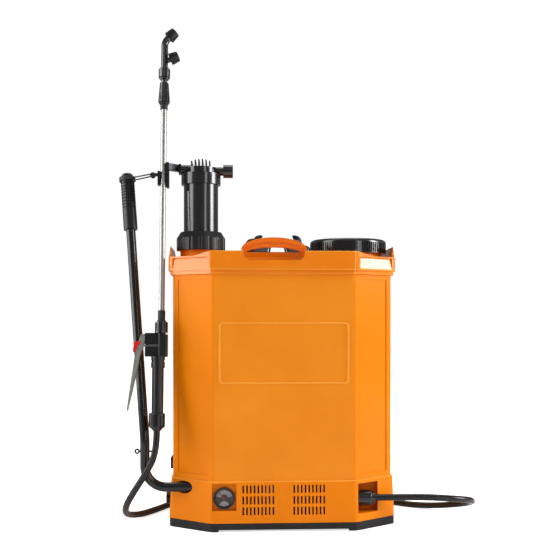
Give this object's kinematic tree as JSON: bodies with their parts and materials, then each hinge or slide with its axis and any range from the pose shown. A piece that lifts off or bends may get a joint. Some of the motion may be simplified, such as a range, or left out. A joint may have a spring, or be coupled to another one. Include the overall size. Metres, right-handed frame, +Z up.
{
  "type": "backpack sprayer",
  "caption": "Knapsack sprayer with a faceted tank, hand-lever pump with air chamber, screw filler lid, electric base, shoulder straps, hose and clipped trigger lance.",
  "frame": {"origin": "centre of the tank's footprint, on the plane its feet stand on", "axes": "+Z up the tank, +Y from the front panel to the back plate that the operator wears, +X across to the filler lid"},
  "size_m": [0.6252, 0.2541, 0.8628],
  "materials": {
    "orange_shell": "glossy blow-moulded plastic",
    "orange_red": "glossy moulded plastic",
    "black_plastic": "semi-gloss moulded plastic",
    "dark_plastic": "fine matt moulded plastic",
    "black_rubber": "matt rubber",
    "grey_rubber": "matt rubber",
    "hose_rubber": "satin reinforced hose",
    "chrome": "polished plate",
    "steel": "drawn steel",
    "zinc": "zinc-plated sheet",
    "lever_paint": "black powder coat",
    "red_plastic": "glossy moulded plastic",
    "white_plastic": "natural plastic",
    "battery_case": "matt moulded plastic",
    "lens": "clear",
    "dial": "printed silver dial",
    "needle": "painted",
    "pad_fabric": "woven over foam",
    "webbing": "woven webbing",
    "brass": "turned brass"
  },
  "bodies": {
    "root": {"tank_shell": "orange_shell", "top_rim": "orange_shell", "carry_handle": "orange_red", "handle_screws": "steel", "strainer_basket": "white_plastic", "pump_barrel": "white_plastic", "barrel_gasket": "black_rubber", "pump_nut": "black_plastic", "air_chamber": "black_plastic", "chamber_seal": "black_rubber", "chamber_cap": "black_plastic", "port_nut": "black_plastic", "lance_clip": "black_plastic", "base_housing": "orange_shell", "base_plate": "dark_plastic", "rubber_feet": "black_rubber", "housing_screws": "steel", "battery": "battery_case", "battery_strap": "steel", "pump_motor": "steel", "diaphragm_pump": "dark_plastic", "suction_tube": "white_plastic", "delivery_tube": "white_plastic", "outlet_fitting": "dark_plastic", "hose_nut": "black_plastic", "gauge_bezel": "dark_plastic", "gauge_dial": "dial", "gauge_lens": "lens", "shaft_bracket": "zinc", "shaft_bushes": "brass", "valve_body": "black_plastic", "valve_nut": "black_plastic", "lance_sleeve": "black_rubber", "lance_tube": "chrome", "upper_sleeve": "black_rubber", "nozzle_nut": "black_plastic", "lance_handle": "black_plastic", "hose_tail_nut": "black_plastic", "trigger_pin": "steel", "hose": "hose_rubber", "shoulder_pads": "pad_fabric", "strap_webbing": "webbing"},
    "lid_lift": {"lid_gasket": "black_rubber"},
    "lid": {"filler_lid": "black_plastic"},
    "lever": {"lever_arm": "lever_paint", "lever_tube": "lever_paint", "lever_grip": "black_rubber", "lever_pin": "steel", "rocker_crank": "zinc", "stow_band": "grey_rubber"},
    "plunger": {"plunger_rod": "steel", "piston_cup": "black_rubber"},
    "trigger": {"trigger": "zinc"},
    "lock": {"trigger_lock": "red_plastic"},
    "spindle": {"valve_spindle": "steel"},
    "needle": {"gauge_needle": "needle"},
    "knob": {"speed_knob": "dark_plastic"},
    "nozzle": {"nozzle_head": "black_plastic"},
    "crown_cap": {"crown_nozzle_cap": "black_plastic"},
    "branch_cap": {"branch_nozzle_cap": "black_plastic"}
  },
  "joints": [
    {"name": "lid_lift", "type": "slide", "parent": "root", "child": "lid_lift", "axis": [0, 0, 1], "range_m": [0, 0.12]},
    {"name": "lid_turn", "type": "hinge", "parent": "lid_lift", "child": "lid", "pos_m": [0.119, -0.005, 0.48], "axis": [0, 0, 1], "continuous": true},
    {"name": "lever_swing", "type": "hinge", "parent": "root", "child": "lever", "pos_m": [-0.12, -0.077, 0.0686], "axis": [-1, 0, 0], "range_deg": [0, 55]},
    {"name": "plunger_slide", "type": "slide", "parent": "root", "child": "plunger", "axis": [0, 0, -1], "range_m": [0, 0.0647]},
    {"name": "trigger_squeeze", "type": "hinge", "parent": "root", "child": "trigger", "pos_m": [-0.2352, -0.07564, 0.32047], "axis": [0, -0.9897, 0.1435], "range_deg": [0, 10], "stiffness_Nm_per_rad": 0.8, "springref_deg": -6.02},
    {"name": "spindle_slide", "type": "slide", "parent": "root", "child": "spindle", "axis": [1, 0, 0], "range_m": [0, 0.00268]},
    {"name": "trigger_lock", "type": "hinge", "parent": "trigger", "child": "lock", "pos_m": [-0.2397, -0.07729, 0.30909], "axis": [0, 0.9897, -0.1435], "range_deg": [0, 22]},
    {"name": "gauge_needle", "type": "hinge", "parent": "root", "child": "needle", "pos_m": [-0.099, -0.106, 0.055], "axis": [0, -1, 0], "range_deg": [-90, 0]},
    {"name": "speed_knob", "type": "hinge", "parent": "root", "child": "knob", "pos_m": [-0.19, -0.042, 0.044], "axis": [-1, 0, 0], "range_deg": [0, 270]},
    {"name": "nozzle_swivel", "type": "hinge", "parent": "root", "child": "nozzle", "pos_m": [-0.2047, -0.00999, 0.77324], "axis": [0, 0.1435, 0.9897], "range_deg": [-90, 90]},
    {"name": "crown_cap_turn", "type": "hinge", "parent": "nozzle", "child": "crown_cap", "pos_m": [-0.1972, 0.00055, 0.84598], "axis": [0.7071, 0.1015, 0.6998], "continuous": true},
    {"name": "branch_cap_turn", "type": "hinge", "parent": "nozzle", "child": "branch_cap", "pos_m": [-0.1947, -0.00519, 0.80639], "axis": [0.9135, 0.0584, 0.4025], "continuous": true}
  ],
  "couplings": [
    {"joint": "plunger_slide", "follows": "lever_swing", "m_per_rad": 0.0673},
    {"joint": "spindle_slide", "follows": "trigger_squeeze", "m_per_rad": 0.0153}
  ]
}
